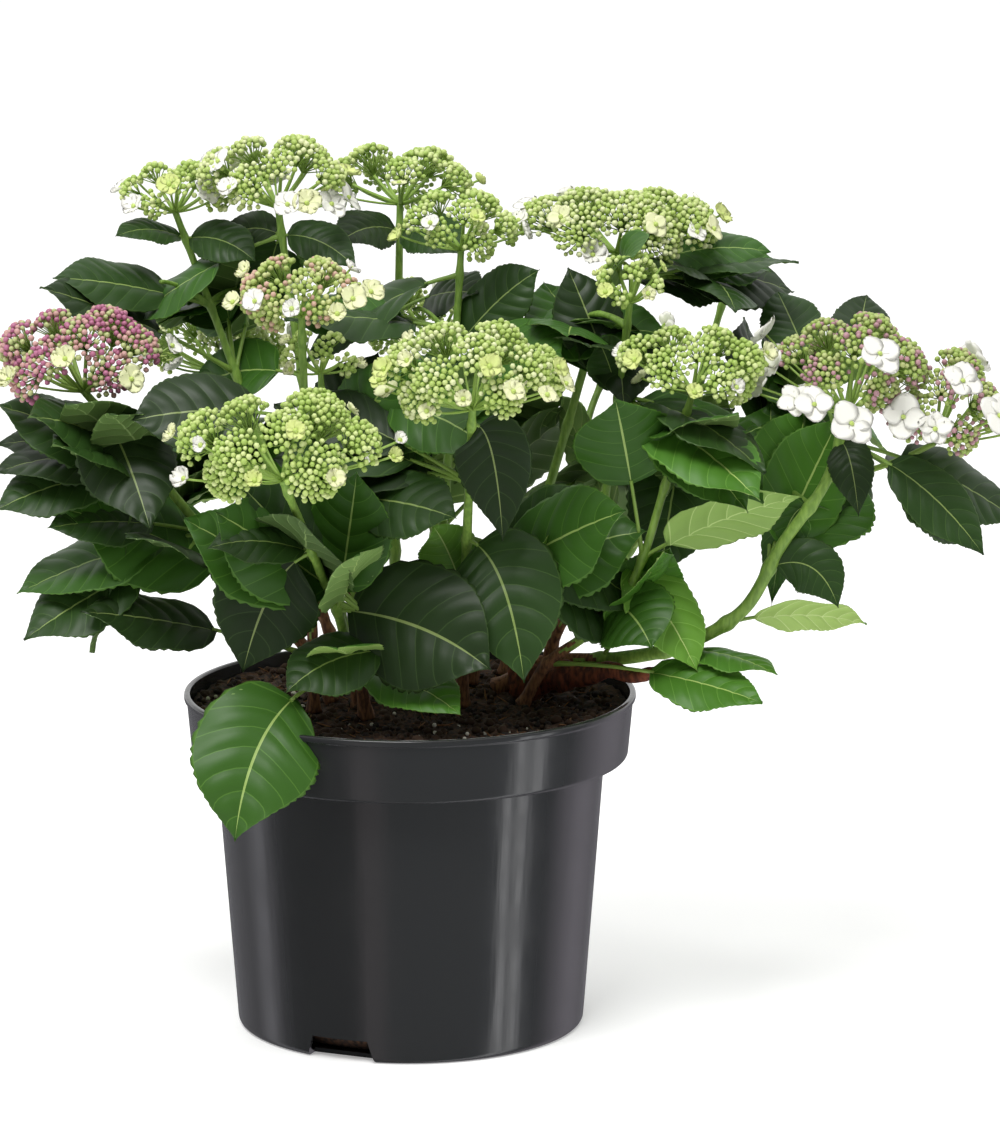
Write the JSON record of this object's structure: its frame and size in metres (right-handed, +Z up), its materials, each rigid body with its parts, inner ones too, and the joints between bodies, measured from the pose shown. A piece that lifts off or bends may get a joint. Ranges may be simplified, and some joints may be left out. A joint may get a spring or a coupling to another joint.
{
  "type": "potted hydrangea shrub",
  "caption": "Lacecap hydrangea shrub with domed flower heads over broad serrated leaves on branching stems, in a round black nursery pot.",
  "frame": {"origin": "middle of the pot's flat underside, on the surface that it stands on", "axes": "+Z up the plant, -Y towards the front of the plant, +X to the right seen from the front"},
  "size_m": [0.595, 0.3825, 0.51],
  "materials": {
    "pot": "gloss",
    "compost": "matte",
    "stem": "satin",
    "old_wood": "matte",
    "leaf": "satin",
    "bloom": "matte",
    "pink_bloom": "matte"
  },
  "bodies": {
    "root": {"pot": "pot", "compost": "compost", "stem_far_left": "stem", "stem_top_left": "stem", "stem_upper_left": "stem", "stem_back_centre": "stem", "stem_upper_centre": "stem", "stem_upper_right": "stem", "stem_left_centre": "stem", "stem_left_bud": "stem", "stem_front_left": "stem", "stem_front_centre": "stem", "stem_right_bud": "stem", "stem_right_centre": "stem", "stem_back_right": "stem", "stem_far_right": "stem", "stem_back_left": "stem", "stem_back_low": "stem", "stem_back_far_right": "stem", "stem_old_wood": "old_wood", "head_far_left": "pink_bloom", "head_top_left": "bloom", "head_upper_left": "bloom", "head_back_centre": "bloom", "head_upper_centre": "bloom", "head_upper_right": "bloom", "head_left_centre": "bloom", "head_left_bud": "bloom", "head_front_left": "bloom", "head_front_centre": "bloom", "head_right_bud": "bloom", "head_right_centre": "bloom", "head_back_right": "bloom", "head_far_right": "pink_bloom", "head_back_left": "bloom", "head_back_low": "bloom", "head_back_far_right": "bloom", "head_far_right_side": "pink_bloom", "leaves_low_left": "leaf", "leaves_mid_left": "leaf", "leaves_top_left": "leaf", "leaves_front_left": "leaf", "leaves_over_pot": "leaf", "leaves_front_low": "leaf", "leaves_centre": "leaf", "leaves_inner_left": "leaf", "leaves_upper_centre": "leaf", "leaves_upper_right": "leaf", "leaves_right_mid": "leaf", "leaves_right_low": "leaf", "leaves_right_foot": "leaf", "leaves_far_right": "leaf", "leaves_far_right_tip": "leaf", "leaves_right_top": "leaf", "leaves_behind_right": "leaf", "leaves_back_left": "leaf", "leaves_back_middle": "leaf", "leaves_back_right": "leaf", "leaves_back_top_left": "leaf"}
  },
  "joints": []
}
